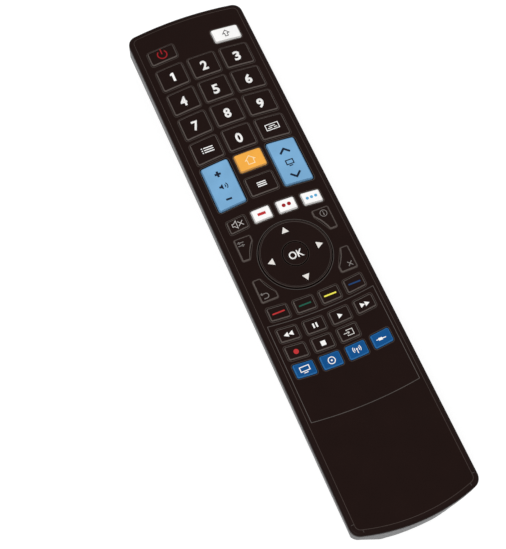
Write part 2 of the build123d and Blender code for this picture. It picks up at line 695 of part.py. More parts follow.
# Infrared diodes behind the window: rim, barrel, domed tip and two bent leads each
led_tip_y = BODY_LENGTH / 2 - SKIN - LED_GAP - sagitta(FRONT_END_RADIUS - SKIN, LED_X + LED_RADIUS)
led_back_y = led_tip_y - LED_BODY - LED_RADIUS
led_bend = LED_RADIUS * math.sin(math.pi / 4)
with BuildPart() as ir_diodes:
    for side in (-1, 1):
        x = side * LED_X
        with BuildSketch(Plane.XZ.offset(-led_back_y)):
            with Locations((x, LED_Z)):
                Circle(LED_RIM_RADIUS)
        extrude(amount=-LED_RIM)
        with BuildSketch(Plane.XY.offset(LED_Z)):
            with BuildLine():
                Line((x, led_back_y), (x, led_tip_y))
                ThreePointArc(
                    (x, led_tip_y),
                    (x + led_bend, led_tip_y - LED_RADIUS + led_bend),
                    (x + LED_RADIUS, led_tip_y - LED_RADIUS),
                )
                Line((x + LED_RADIUS, led_tip_y - LED_RADIUS), (x + LED_RADIUS, led_back_y))
                Line((x + LED_RADIUS, led_back_y), (x, led_back_y))
            make_face()
        revolve(axis=Axis((x, 0, LED_Z), (0, 1, 0)))
        with BuildSketch(Plane.XY.offset(LED_Z - WIRE / 2)):
            with Locations((x, led_back_y)):
                with GridLocations(2 * LED_LEAD_SPREAD, 0, 2, 1):
                    Rectangle(WIRE, LED_LEAD_RUN, align=(Align.CENTER, Align.MAX))
        extrude(amount=WIRE)
        with BuildSketch(Plane.XY.offset(LED_Z)):
            with Locations((x, led_back_y - LED_LEAD_RUN)):
                with GridLocations(2 * LED_LEAD_SPREAD, 0, 2, 1):
                    Rectangle(WIRE, WIRE, align=(Align.CENTER, Align.MIN))
        extrude(amount=BOARD_BOTTOM - LED_Z)
ir_diodes.part.label = "ir_diodes"
export_step(ir_diodes.part, "parts/ir_diodes.step")

# Lower shell: the hull hollowed out, with the battery bay, the cover's slot, board posts and the window
hull_outside = hull(0, JOINT_Z)
hull_inside = hull(SKIN, JOINT_Z + OVERRUN)
block_half_width = BAY_HALF_WIDTH + BAY_WALL
block_end = chamber_end + BAY_WALL
tongue_half_width = COVER_HALF_WIDTH + COVER_TONGUE
rail_half_width = tongue_half_width + SEAT_GAP + RAIL_SIDE
slot_top = COVER_THICKNESS + SEAT_GAP


def bar(half_width, start_y, end_y, low, high):
    """Upright block across the middle line."""
    with BuildPart() as block:
        with BuildSketch(Plane.XY.offset(low)):
            with Locations((0, start_y)):
                Rectangle(2 * half_width, end_y - start_y, align=(Align.CENTER, Align.MIN))
        extrude(amount=high - low)
    return block.part


with BuildPart() as lower_shell:
    add(hull_outside)
    add(hull_inside, mode=Mode.SUBTRACT)
    add(bar(block_half_width, body_end + SKIN, block_end, SKIN, bay_block_top))
    add(bar(rail_half_width, body_end + SKIN, cover_end + RAIL_SIDE, SKIN, slot_top + RAIL_TOP))
    with BuildSketch(Plane.XY.offset(SKIN / 2)):
        for share in POST_ROW_SHARES:
            with Locations((0, share * BODY_LENGTH)):
                with GridLocations(2 * POST_X, 0, 2, 1):
                    Circle(POST_RADIUS)
    extrude(amount=BOARD_BOTTOM - SKIN / 2)
    add(hull_outside, mode=Mode.INTERSECT)
    add(bar(BAY_HALF_WIDTH, bay_start, bay_end, 0, bay_ceiling), mode=Mode.SUBTRACT)
    add(bar(BAY_HALF_WIDTH, chamber_start, chamber_end, 0, CHAMBER_ROOF_Z), mode=Mode.SUBTRACT)
    add(
        bar(COVER_HALF_WIDTH + SEAT_GAP, body_end - OVERRUN, cover_end + SEAT_GAP, -OVERRUN, slot_top),
        mode=Mode.SUBTRACT,
    )
    add(
        bar(tongue_half_width + SEAT_GAP, body_end - OVERRUN, cover_end + SEAT_GAP, RAIL_LIP, slot_top),
        mode=Mode.SUBTRACT,
    )
    with BuildSketch(Plane.XY.offset(CHAMBER_ROOF_Z)):
        with Locations(*screw_places):
            Circle(SCREW_RADIUS + SCREW_CLEARANCE)
        with Locations(jack_place):
            Rectangle(JACK_WIDTH + 2 * SEAT_GAP, JACK_LENGTH + 2 * SEAT_GAP)
    extrude(amount=bay_block_top - CHAMBER_ROOF_Z, mode=Mode.SUBTRACT)
    with BuildSketch(Plane.XZ.offset(-BODY_LENGTH / 2 - OVERRUN)):
        with Locations((0, WINDOW_LOW - FIT)):
            Rectangle(
                WINDOW_WIDTH + 2 * FIT,
                WINDOW_HIGH - WINDOW_LOW + 2 * FIT,
                align=(Align.CENTER, Align.MIN),
            )
    extrude(amount=2 * SKIN + OVERRUN, mode=Mode.SUBTRACT)
lower_shell.part.label = "lower_shell"
export_step(lower_shell.part, "parts/lower_shell.step")

# Infrared window, flush in the front end of the lower shell
with BuildPart() as ir_window:
    add(outline_plate(0, WINDOW_LOW, WINDOW_HIGH))
    add(outline_plate(SKIN, WINDOW_LOW - OVERRUN, WINDOW_HIGH + OVERRUN), mode=Mode.SUBTRACT)
    add(
        bar(WINDOW_WIDTH / 2, 0, BODY_LENGTH, WINDOW_LOW - OVERRUN, WINDOW_HIGH + OVERRUN),
        mode=Mode.INTERSECT,
    )
ir_window.part.label = "ir_window"
export_step(ir_window.part, "parts/ir_window.step")

# Battery cover: a plate with a tongue along each side, cut to the hull's own shape, with finger grooves
with BuildPart() as battery_cover:
    add(bar(COVER_HALF_WIDTH, body_end, cover_end, 0, COVER_THICKNESS))
    add(bar(tongue_half_width, body_end, cover_end, RAIL_LIP + FIT, COVER_THICKNESS))
    add(hull_outside, mode=Mode.INTERSECT)
    with BuildSketch():
        with Locations((0, cover_end - GRIP_SETBACK)):
            with GridLocations(0, GRIP_PITCH, 1, GRIP_COUNT):
                Rectangle(GRIP_LENGTH, GRIP_WIDTH)
    extrude(amount=GRIP_DEPTH, mode=Mode.SUBTRACT)
battery_cover.part.label = "battery_cover"
export_step(battery_cover.part, "parts/battery_cover.step")

# Cells: the left one points to the infrared end, the right one the other way
cell_z = COVER_THICKNESS + COVER_CLEARANCE + CELL_RADIUS
can_length = CELL_LENGTH - CELL_NUB
plate_seat = CONTACT_THICKNESS + FIT
for name, side in (("battery_left", -1), ("battery_right", 1)):
    if side < 0:
        nub_end = bay_end - plate_seat
    else:
        nub_end = bay_start + plate_seat
    shoulder = nub_end + side * CELL_NUB
    with BuildPart() as cell:
        with BuildSketch(Plane.XZ.offset(-shoulder)):
            with Locations((side * CELL_X, cell_z)):
                Circle(CELL_RADIUS)
        extrude(amount=-side * can_length)
        chamfer(cell.edges().filter_by(GeomType.CIRCLE), length=CELL_EDGE)
        with BuildSketch(Plane.XZ.offset(-shoulder)):
            with Locations((side * CELL_X, cell_z)):
                Circle(CELL_NUB_RADIUS)
        extrude(amount=side * CELL_NUB)
    cell.part.label = name
    export_step(cell.part, f"parts/{name}.step")

# Plain contacts under the nubs, and bowed spring contacts at the other end of each cell
with BuildPart() as contact_plates:
    for side, wall, turn in ((-1, bay_end, 1), (1, bay_start, -1)):
        with BuildSketch(Plane.XZ.offset(-wall)):
            with Locations((side * CELL_X, cell_z)):
                Rectangle(CONTACT_SIZE, CONTACT_SIZE)
        extrude(amount=turn * CONTACT_THICKNESS)
contact_plates.part.label = "contact_plates"
export_step(contact_plates.part, "parts/contact_plates.step")

bow_reach = BAY_LENGTH - plate_seat - CELL_LENGTH - FIT
with BuildPart() as spring_contacts:
    for side, wall, turn in ((-1, bay_start, 1), (1, bay_end, -1)):
        with BuildSketch(Plane.XZ.offset(-wall)):
            with Locations((side * CELL_X, cell_z)):
                Rectangle(CONTACT_SIZE, CONTACT_SIZE)
        extrude(amount=-turn * CONTACT_THICKNESS)
        foot = wall + turn * CONTACT_THICKNESS
        tip = wall + turn * bow_reach
        inner_half_height = BOW_HALF_HEIGHT - CONTACT_THICKNESS
        with BuildSketch(Plane.YZ.offset(side * CELL_X)):
            with BuildLine():
                ThreePointArc(
                    (foot, cell_z - BOW_HALF_HEIGHT),
                    (tip, cell_z),
                    (foot, cell_z + BOW_HALF_HEIGHT),
                )
                Line((foot, cell_z + BOW_HALF_HEIGHT), (foot, cell_z + inner_half_height))
                ThreePointArc(
                    (foot, cell_z + inner_half_height),
                    (tip - turn * CONTACT_THICKNESS, cell_z),
                    (foot, cell_z - inner_half_height),
                )
                Line((foot, cell_z - inner_half_height), (foot, cell_z - BOW_HALF_HEIGHT))
            make_face()
        extrude(amount=BOW_WIDTH / 2, both=True)
spring_contacts.part.label = "spring_contacts"
export_step(spring_contacts.part, "parts/spring_contacts.step")

# Jack socket: a block with a blind bore that opens downwards into the chamber
with BuildPart() as jack_socket:
    with BuildSketch(Plane.XY.offset(slot_top)):
        with Locations(jack_place):
            Rectangle(JACK_WIDTH, JACK_LENGTH)
    extrude(amount=JACK_TOP - slot_top)
    with BuildSketch(Plane.XY.offset(slot_top)):
        with Locations(jack_place):
            Circle(JACK_BORE_RADIUS)
    extrude(amount=JACK_BORE_DEPTH, mode=Mode.SUBTRACT)
jack_socket.part.label = "jack_socket"
export_step(jack_socket.part, "parts/jack_socket.step")

# Case screws: a pan head with a driver recess, and a shank up into the panel's boss
with BuildPart() as case_screws:
    with BuildSketch(Plane.XY.offset(CHAMBER_ROOF_Z)):
        with Locations(*screw_places):
            Circle(SCREW_HEAD_RADIUS)
    extrude(amount=-SCREW_HEAD)
    with BuildSketch(Plane.XY.offset(CHAMBER_ROOF_Z)):
        with Locations(*screw_places):
            Circle(SCREW_RADIUS)
    extrude(amount=SCREW_TIP_Z - CHAMBER_ROOF_Z)
    with BuildSketch(Plane.XY.offset(CHAMBER_ROOF_Z - SCREW_HEAD)):
        with Locations(*screw_places):
            Rectangle(2 * SCREW_RECESS_RADIUS, SCREW_RECESS_WIDTH)
            Rectangle(SCREW_RECESS_WIDTH, 2 * SCREW_RECESS_RADIUS)
    extrude(amount=SCREW_RECESS_DEPTH, mode=Mode.SUBTRACT)
case_screws.part.label = "case_screws"
export_step(case_screws.part, "parts/case_screws.step")
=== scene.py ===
"""Looks of the universal remote control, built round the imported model. Metres, in the model's own frame."""

import json
import math

import bmesh
import bpy
from mathutils import Matrix, Vector


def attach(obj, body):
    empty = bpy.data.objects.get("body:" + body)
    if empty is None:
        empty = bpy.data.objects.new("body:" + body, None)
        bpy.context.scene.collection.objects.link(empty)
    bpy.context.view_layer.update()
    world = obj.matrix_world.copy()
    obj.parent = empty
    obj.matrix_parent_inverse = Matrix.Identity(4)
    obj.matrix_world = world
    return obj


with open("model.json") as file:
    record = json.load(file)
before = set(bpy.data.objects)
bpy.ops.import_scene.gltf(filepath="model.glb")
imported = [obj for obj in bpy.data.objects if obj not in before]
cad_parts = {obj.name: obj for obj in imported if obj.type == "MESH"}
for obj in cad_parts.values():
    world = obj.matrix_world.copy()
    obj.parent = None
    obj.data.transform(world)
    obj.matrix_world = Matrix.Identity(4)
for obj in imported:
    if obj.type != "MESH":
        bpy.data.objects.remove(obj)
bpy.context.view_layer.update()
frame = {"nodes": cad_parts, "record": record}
nodes = frame["nodes"]

# Lengths are given in millimetres unless said otherwise, and MM turns them into metres
MM = 0.001

# The model's own measures: outline, height of the face and of the keys, and the navigation pad's centre
BODY_WIDTH = 48.0
BODY_LENGTH = 215.8
FRONT_END_RADIUS = 140.0
BATTERY_END_RADIUS = 73.0
CORNER_RADIUS = 4.0
LEAST_CORNER_RADIUS = 1.2
BEZEL = 2.05
FACE_Z = 20.0
KEY_TOP = 20.5
PAD_Y = -3.8

# Rows of keys bow away from the pad on arcs of this radius
ARCH_RADIUS = 160.0
# Columns and sizes of the keys
WIDE_COLUMNS = (-13.45, 0.0, 13.45)
WIDE_KEY_WIDTH = 11.0
WIDE_KEY_CORNER = 0.9
SMALL_COLUMNS = (-14.895, -4.965, 4.965, 14.895)
SMALL_KEY_SIZE = (7.4, 5.2)
SMALL_KEY_CORNER = 0.7
DIGIT_ROW_Y = 87.3
DIGIT_ROW_STEP = 11.63
DIGIT_KEY_LENGTH = 9.5

# Print stands this far over its surface and reaches this far below it
INK = 0.02
INK_ROOT = 0.05

# Camera of the photograph: place in millimetres, and its right, down and forward directions
CAMERA_PLACE = (-88.548, -144.242, 386.908)
CAMERA_RIGHT = (0.918632, -0.394054, 0.028920)
CAMERA_DOWN = (-0.352559, -0.850538, -0.390239)
CAMERA_FORWARD = (0.178373, 0.348290, -0.920259)
CAMERA_LENS = 72.653
SENSOR = 36.0
# Nearest and farthest thing it sees, in metres
CLIP_NEAR = 0.01
CLIP_FAR = 20.0


def linear(value):
    """One sRGB channel, 0 to 255, as a linear value."""
    share = value / 255
    return share / 12.92 if share <= 0.04045 else ((share + 0.055) / 1.055) ** 2.4


def rgb(red, green, blue):
    return (linear(red), linear(green), linear(blue), 1.0)


def shade(colour, factor):
    return (colour[0] * factor, colour[1] * factor, colour[2] * factor, 1.0)


def grey(value):
    return (value, value, value, 1.0)


# Camera
camera_data = bpy.data.cameras.new("camera")
camera = bpy.data.objects.new("camera", camera_data)
bpy.context.collection.objects.link(camera)
camera_data.sensor_width = SENSOR
camera_data.lens = CAMERA_LENS
camera_data.clip_start = CLIP_NEAR
camera_data.clip_end = CLIP_FAR
turn = Matrix((CAMERA_RIGHT, [-v for v in CAMERA_DOWN], [-v for v in CAMERA_FORWARD])).transposed()
camera.matrix_world = Matrix.Translation(Vector(CAMERA_PLACE) * MM) @ turn.to_4x4()
bpy.context.scene.camera = camera


# Materials: the scales of a noise are per metre, and the depths of a relief are in metres
NOISE_STOPS = (0.3, 0.7)
CLOUD_SCALE = 130.0
PATCH_SCALE = 60.0
GRAIN_SCALE = 9000.0
GRAIN_DETAIL = 2.0
GRAIN_DEPTH = 0.00005
GLOSS_SPREAD = 0.06
COAT_ROUGH = 0.25
STREAK_SCALE = 900.0
STREAK_DETAIL = 4.0
STREAK_STRETCH = 0.08
STREAK_SHADE = 0.85
STREAK_SPREAD = 0.3
STREAK_BUMP = 0.1
STREAK_DEPTH = 0.00003

# How much of the painted edge shading shows, by the upward part of a surface's normal: a colour that stands
# for light and shade on sloping bevels
EDGE_SHADING_STOPS = ((0.5, 0.0), (0.62, 1.0), (0.9, 1.0), (0.96, 0.0))
# How much of the painted edge shading is left near the pad's centre, and over what distance it comes back
CALM_EDGE_SHADING = 0.3
CALM_FADE = 0.1


def shader(name):
    """New node material, with its tree and its main shader."""
    material = bpy.data.materials.new(name)
    material.use_nodes = True
    tree = material.node_tree
    return material, tree, tree.nodes["Principled BSDF"]


def link(tree, source, output, target, socket):
    tree.links.new(source.outputs[output], target.inputs[socket])


def noise(tree, source, output, scale, detail=3.0):
    """Noise over the coordinates that a node's output gives."""
    node = tree.nodes.new("ShaderNodeTexNoise")
    node.inputs["Scale"].default_value = scale
    node.inputs["Detail"].default_value = detail
    link(tree, source, output, node, "Vector")
    return node


def ramp(tree, source, output, stops):
    """Colour ramp fed by a node's output; stops are (place, colour)."""
    node = tree.nodes.new("ShaderNodeValToRGB")
    elements = node.color_ramp.elements
    for step, (place, colour) in enumerate(stops):
        element = elements[step] if step < 2 else elements.new(place)
        element.position = place
        element.color = colour
    link(tree, source, output, node, "Fac")
    return node


def noise_ramp(tree, source, low, high):
    """Colour ramp from low to high over the middle part of a noise."""
    return ramp(tree, source, "Fac", zip(NOISE_STOPS, (low, high)))


def relief(tree, bsdf, source, strength, depth):
    """Bump on the main shader from a noise."""
    node = tree.nodes.new("ShaderNodeBump")
    node.inputs["Strength"].default_value = strength
    node.inputs["Distance"].default_value = depth
    link(tree, source, "Fac", node, "Height")
    link(tree, node, "Normal", bsdf, "Normal")


def with_painted_edge_shading(tree, coords, body, painted_edge_shading, calm):
    """Body colour mixed with painted edge shading, a colour that stands for light and shade, on sloping
    surfaces outside the radius calm.
    """
    facing = tree.nodes.new("ShaderNodeNewGeometry")
    split = tree.nodes.new("ShaderNodeSeparateXYZ")
    link(tree, facing, "Normal", split, "Vector")
    slope = ramp(tree, split, "Z", [(place, grey(share)) for place, share in EDGE_SHADING_STOPS])
    distance = tree.nodes.new("ShaderNodeVectorMath")
    distance.operation = "DISTANCE"
    distance.inputs[1].default_value = (0.0, PAD_Y * MM, KEY_TOP * MM)
    link(tree, coords, "Object", distance, 0)
    near = (calm * MM, grey(CALM_EDGE_SHADING))
    far = ((calm + CALM_FADE) * MM, grey(1.0))
    zone = ramp(tree, distance, "Value", (near, far))
    strength = tree.nodes.new("ShaderNodeMath")
    strength.operation = "MULTIPLY"
    link(tree, slope, "Color", strength, 0)
    link(tree, zone, "Color", strength, 1)
    # Painted light and shade: the edge colour is mixed into the sloping surfaces
    mix = tree.nodes.new("ShaderNodeMixRGB")
    mix.inputs["Color2"].default_value = painted_edge_shading
    link(tree, strength, "Value", mix, "Fac")
    link(tree, body, "Color", mix, "Color1")
    return mix


def plastic(name, colour, rough=0.45, gloss=0.3, bump=0.06, mottle=0.06, painted_edge_shading=None, coat=0.0, calm=0.0):
    """Moulded plastic: fine grain, slight clouding, uneven gloss, and painted edge shading on sloping
    surfaces, a highlight on dark keys and shade on pale ones.

    Within the radius calm of the navigation pad's centre the painted edge shading is held back.
    """
    material, tree, bsdf = shader(name)
    coords = tree.nodes.new("ShaderNodeTexCoord")
    cloud = noise(tree, coords, "Object", CLOUD_SCALE)
    body = noise_ramp(tree, cloud, shade(colour, 1 - mottle), shade(colour, 1 + mottle))
    # Painted edge shading: light and shade painted into the colour of sloping surfaces
    if painted_edge_shading is not None:
        body = with_painted_edge_shading(tree, coords, body, painted_edge_shading, calm)
    link(tree, body, "Color", bsdf, "Base Color")
    patch = noise(tree, coords, "Object", PATCH_SCALE)
    duller = min(1.0, rough * (1 + GLOSS_SPREAD))
    level = noise_ramp(tree, patch, grey(rough * (1 - GLOSS_SPREAD)), grey(duller))
    link(tree, level, "Color", bsdf, "Roughness")
    bsdf.inputs["Specular IOR Level"].default_value = gloss
    bsdf.inputs["Coat Weight"].default_value = coat
    bsdf.inputs["Coat Roughness"].default_value = COAT_ROUGH
    grain = noise(tree, coords, "Object", GRAIN_SCALE, GRAIN_DETAIL)
    relief(tree, bsdf, grain, bump, GRAIN_DEPTH)
    return material


def metal(name, colour, rough):
    """Plated or brushed metal: fine streaks in colour, roughness and relief."""
    material, tree, bsdf = shader(name)
    coords = tree.nodes.new("ShaderNodeTexCoord")
    stretch = tree.nodes.new("ShaderNodeMapping")
    stretch.inputs["Scale"].default_value = (1.0, STREAK_STRETCH, 1.0)
    link(tree, coords, "Object", stretch, "Vector")
    streaks = noise(tree, stretch, "Vector", STREAK_SCALE, STREAK_DETAIL)
    tone = noise_ramp(tree, streaks, shade(colour, STREAK_SHADE), colour)
    link(tree, tone, "Color", bsdf, "Base Color")
    smooth = grey(rough * (1 - STREAK_SPREAD))
    dull = grey(rough * (1 + STREAK_SPREAD))
    level = noise_ramp(tree, streaks, smooth, dull)
    link(tree, level, "Color", bsdf, "Roughness")
    bsdf.inputs["Metallic"].default_value = 1.0
    relief(tree, bsdf, streaks, STREAK_BUMP, STREAK_DEPTH)
    return material


# Painted highlight: the grey that the black keys and the ring get on their sloping edges
EDGE_HIGHLIGHT = rgb(95, 86, 82)
FACE = (0.0112, 0.0046, 0.0036, 1.0)
# Inside this radius the painted edge highlights of the ring and the OK key are fainter, as in the photograph
RING_CALM = 12.95
plastics = {
    "face_black": dict(colour=FACE, rough=0.55, gloss=0.04, bump=0.05),
    "frame_black": dict(colour=FACE, rough=0.4, gloss=0.05, bump=0.03),
    "shell_grey": dict(colour=rgb(114, 114, 115), rough=0.5, gloss=0.25, bump=0.2, mottle=0.03),
    # Each edge colour is painted light on sloping bevels: a highlight on the black and dark blue keys and the
    # ring, shade on the white, light blue and orange keys
    "key_black": dict(colour=FACE, rough=0.5, gloss=0.04, bump=0.05, painted_edge_shading=EDGE_HIGHLIGHT),
    "ring_black": dict(colour=FACE, rough=0.5, gloss=0.04, bump=0.05, painted_edge_shading=EDGE_HIGHLIGHT, calm=RING_CALM),
    "key_white": dict(colour=rgb(252, 251, 250), rough=0.4, painted_edge_shading=rgb(205, 203, 201)),
    "key_light_blue": dict(colour=rgb(123, 174, 214), gloss=0.08, painted_edge_shading=rgb(96, 140, 178)),
    "key_orange": dict(colour=rgb(248, 176, 72), gloss=0.08, painted_edge_shading=rgb(205, 150, 84)),
    "key_blue": dict(colour=rgb(14, 80, 140), gloss=0.05, painted_edge_shading=rgb(48, 112, 172)),
    "window_plastic": dict(colour=rgb(22, 5, 9), rough=0.15, gloss=0.25, coat=0.1),
    "washer_plastic": dict(colour=rgb(205, 203, 196)),
    "silicone": dict(colour=rgb(96, 96, 94), rough=0.7),
    "board_laminate": dict(colour=rgb(34, 104, 54), rough=0.35, gloss=0.5),
    "chip_plastic": dict(colour=rgb(30, 30, 31), rough=0.6, gloss=0.05),
    "capacitor_sleeve": dict(colour=rgb(28, 30, 52), rough=0.25, gloss=0.5),
    "diode_resin": dict(colour=rgb(120, 130, 165), rough=0.1, gloss=0.5),
    "socket_plastic": dict(colour=rgb(26, 26, 27), rough=0.4),
    "cell_jacket": dict(colour=rgb(44, 46, 50), rough=0.3, gloss=0.5, coat=0.3),
}
metals = {
    "contact_steel": dict(colour=rgb(214, 213, 208), rough=0.3),
    "screw_steel": dict(colour=rgb(190, 189, 184), rough=0.35),
}
looks = {name: plastic(name, **look) for name, look in plastics.items()}
looks.update({name: metal(name, **look) for name, look in metals.items()})

INK_LOOK = dict(rough=0.6, gloss=0.05)
pale_inks = {"white": (250, 249, 247), "ash": (196, 191, 188), "pearl": (232, 228, 223)}
other_inks = {
    "navy": (24, 34, 52),
    "dark": (58, 54, 56),
    "red": (192, 52, 54),
    "deep_red": (158, 32, 38),
    "green": (34, 94, 76),
    "yellow": (244, 234, 88),
    "blue": (32, 66, 112),
    "sky": (96, 172, 214),
    "line": (84, 78, 75),
    "silver": (134, 128, 125),
    "faint": (72, 62, 58),
    "pale_orange": (255, 226, 176),
}
inks = {name: plastic("ink_" + name, rgb(*ink), mottle=0.02, **INK_LOOK) for name, ink in pale_inks.items()}
inks.update({name: plastic("ink_" + name, rgb(*ink), **INK_LOOK) for name, ink in other_inks.items()})

for entry in frame["record"]["subparts"]:
    node = nodes[entry["node"]]
    look = looks[entry["material_slot"]]
    if node.material_slots:
        for slot in node.material_slots:
            slot.material = look
    else:
        node.data.materials.append(look)

for name in ("nav_ring", "ok_key"):
    nodes[name].material_slots[0].material = looks["ring_black"]


# Printed marks: their places are in millimetres round the pad's centre
# Least cosine that is taken at a line's corner, so that a sharp one doesn't reach far out
LEAST_MITRE = 0.3
# Decimals of a millimetre to which two corners at one place agree
CORNER_DECIMALS = 4


def flat_print(name, body, shapes, ink, top, smooth=False):
    """Thin print of closed outlines, in one ink, on a surface at the height top, riding on a body."""
    work = bmesh.new()
    corners = {}
    walls = {}

    def corner(x, y, z):
        """The one vertex at a place, so that neighbouring shapes share their corners."""
        place = (round(x, CORNER_DECIMALS), round(y, CORNER_DECIMALS), z)
        if place not in corners:
            corners[place] = work.verts.new((x * MM, (y + PAD_Y) * MM, z * MM))
        return corners[place]

    for shape in shapes:
        low = [corner(x, y, top - INK_ROOT) for x, y in shape]
        high = [corner(x, y, top + INK) for x, y in shape]
        work.faces.new(high)
        work.faces.new(low[::-1])
        for step in range(len(shape)):
            ahead = (step + 1) % len(shape)
            wall = (low[step], low[ahead], high[ahead], high[step])
            walls.setdefault(frozenset(wall), []).append(wall)
    # A wall between two shapes would be inside the print, so it is left out
    for same_place in walls.values():
        if len(same_place) == 1:
            work.faces.new(same_place[0])
    bmesh.ops.recalc_face_normals(work, faces=work.faces)
    bmesh.ops.triangulate(work, faces=[face for face in work.faces if len(face.verts) > 4])
    for face in work.faces:
        face.smooth = smooth
    mesh = bpy.data.meshes.new(name)
    work.to_mesh(mesh)
    work.free()
    mesh.materials.append(inks[ink])
    piece = bpy.data.objects.new(name, mesh)
    bpy.context.collection.objects.link(piece)
    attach(piece, body)


def key_print(name, body, shapes, ink):
    flat_print(name, body, shapes, ink, KEY_TOP)


def stroke(points, width, closed=False):
    """Quads of one line of even width along points, mitred at its corners."""
    count = len(points)
    sides = []
    for step in range(count):
        here = Vector(points[step])
        before = Vector(points[step - 1]) if step or closed else None
        after = Vector(points[(step + 1) % count]) if step < count - 1 or closed else None
        into = (here - before).normalized() if before is not None else (after - here).normalized()
        out = (after - here).normalized() if after is not None else into
        across = Vector((-into.y - out.y, into.x + out.x))
        across.normalize()
        reach = width / 2 / max(LEAST_MITRE, across.dot(Vector((-into.y, into.x))))
        sides.append((here + across * reach, here - across * reach))
    quads = []
    for step in range(count if closed else count - 1):
        left, right = sides[step]
        next_left, next_right = sides[(step + 1) % count]
        quads.append([tuple(left), tuple(right), tuple(next_right), tuple(next_left)])
    return quads


def arc(x, y, radius, start, end, steps=24):
    """Points on an arc, in degrees."""
    points = []
    for step in range(steps + 1):
        angle = math.radians(start + (end - start) * step / steps)
        points.append((x + radius * math.cos(angle), y + radius * math.sin(angle)))
    return points


def ring(x, y, radius, width, steps=48):
    return stroke(arc(x, y, radius, 0, 360, steps)[:-1], width, closed=True)


def disc(x, y, radius):
    return [arc(x, y, radius, 0, 360, steps=32)[:-1]]


def block(x, y, width, height):
    """Upright rectangle round a centre."""
    return [[
        (x - width / 2, y - height / 2), (x + width / 2, y - height / 2),
        (x + width / 2, y + height / 2), (x - width / 2, y + height / 2),
    ]]


def cross(x, y, span, width, angle):
    """Two equal bars that cross at (x, y), turned by an angle."""
    turn = math.radians(angle)
    arm, half = span / 2, width / 2
    outline = []
    for quarter in range(4):
        for along, aside in ((half, -arm), (half, -half), (arm, -half)):
            for _ in range(quarter):
                along, aside = -aside, along
            outline.append((
                x + along * math.cos(turn) - aside * math.sin(turn),
                y + along * math.sin(turn) + aside * math.cos(turn),
            ))
    return [outline]


def triangle(x, y, length, half, angle):
    """Triangle that points along angle, with its middle at (x, y); half is half the length of its back."""
    turn = math.radians(angle)
    ahead = (math.cos(turn), math.sin(turn))
    left = (-ahead[1], ahead[0])
    tip = (x + ahead[0] * length / 2, y + ahead[1] * length / 2)
    back = (x - ahead[0] * length / 2, y - ahead[1] * length / 2)
    return [[
        tip,
        (back[0] + left[0] * half, back[1] + left[1] * half),
        (back[0] - left[0] * half, back[1] - left[1] * half),
    ]]


def repeated(sign, places, *sizes):
    """The same sign at several places."""
    shapes = []
    for x, y in places:
        shapes += sign(x, y, *sizes)
    return shapes


def text_print(name, body, words, place, size, bold, steps=6, way_up=1):
    """White characters, fitted to a width and a height on a key's top; way_up -1 turns them half round.

    bold thickens the outline, and steps is the number of runs in each of its curves.
    """
    curve = bpy.data.curves.new(name + "_curve", "FONT")
    curve.body = words
    curve.size = 1.0
    curve.offset = bold
    curve.resolution_u = steps
    holder = bpy.data.objects.new(name + "_curve", curve)
    bpy.context.collection.objects.link(holder)
    bpy.context.view_layer.update()
    graph = bpy.context.evaluated_depsgraph_get()
    flat = bpy.data.meshes.new_from_object(holder.evaluated_get(graph))
    bpy.data.objects.remove(holder)
    bpy.data.curves.remove(curve)
    low_x = min(v.co.x for v in flat.vertices)
    high_x = max(v.co.x for v in flat.vertices)
    low_y = min(v.co.y for v in flat.vertices)
    high_y = max(v.co.y for v in flat.vertices)
    points = []
    for v in flat.vertices:
        share_x = (v.co.x - low_x) / (high_x - low_x) - 0.5
        share_y = (v.co.y - low_y) / (high_y - low_y) - 0.5
        points.append((
            place[0] + way_up * share_x * size[0],
            place[1] + way_up * share_y * size[1],
        ))
    shapes = [[points[index] for index in face.vertices] for face in flat.polygons]
    bpy.data.meshes.remove(flat)
    flat_print(name, body, shapes, "white", KEY_TOP, smooth=True)


# Digits: place, boldness and curve steps of each. The 9 is a 6 turned half round, and the 1 has no curves
DIGIT_SIZE = (2.65, 4.25)
digits = {
    "2": ((-0.15, 87.1), 0.03, 6),
    "3": ((13.4, 86.35), 0.036, 6),
    "4": ((-13.7, 74.9), 0.04, 6),
    "5": ((-0.1, 75.4), 0.036, 6),
    "6": ((13.4, 74.95), 0.04, 6),
    "7": ((-13.4, 63.15), 0.03, 6),
    "8": ((-0.1, 63.8), 0.036, 8),
    "0": ((-0.2, 52.1), 0.038, 6),
}
for digit, (place, bold, steps) in digits.items():
    text_print("digit_" + digit, "key_" + digit, digit, place, DIGIT_SIZE, bold, steps)
text_print("digit_9", "key_9", "6", (13.4, 63.0), DIGIT_SIZE, bold=0.04, way_up=-1)
one_x, one_y = -13.45, 86.55
one = [(0.75, 1.95), (0.75, -1.95), (-0.2, -1.95), (-0.2, 0.9), (-0.75, 0.65), (-0.75, 1.4), (-0.05, 1.95)]
key_print("digit_1", "key_1", [[(one_x + x, one_y + y) for x, y in one]], "white")

# Power key: an open ring with a bar
power_x, power_line = -13.5, 0.46
power_mark = stroke(arc(power_x, 97.8, 1.85, 130, 410), power_line)
power_mark += block(power_x, 99.1, power_line, height=2.4)
key_print("power_mark", "power_key", power_mark, "deep_red")

# Shift key: an arrow's outline
shift_arrow = [
    (12.1, 97.7), (13.45, 99.2), (14.8, 97.7), (14.0, 97.7), (14.0, 96.4), (12.9, 96.4), (12.9, 97.7),
]
key_print("shift_mark", "shift_key", stroke(shift_arrow, width=0.3, closed=True), "dark")

# Guide key: a list of three rows, each a dot and a line
guide_y, guide_step = 51.8, 0.95
guide_mark = []
for row in (-1, 0, 1):
    guide_mark += block(-15.3, guide_y + row * guide_step, width=0.45, height=0.45)
    guide_mark += block(-12.7, guide_y + row * guide_step, width=3.8, height=0.4)
key_print("guide_mark", "guide_key", guide_mark, "white")

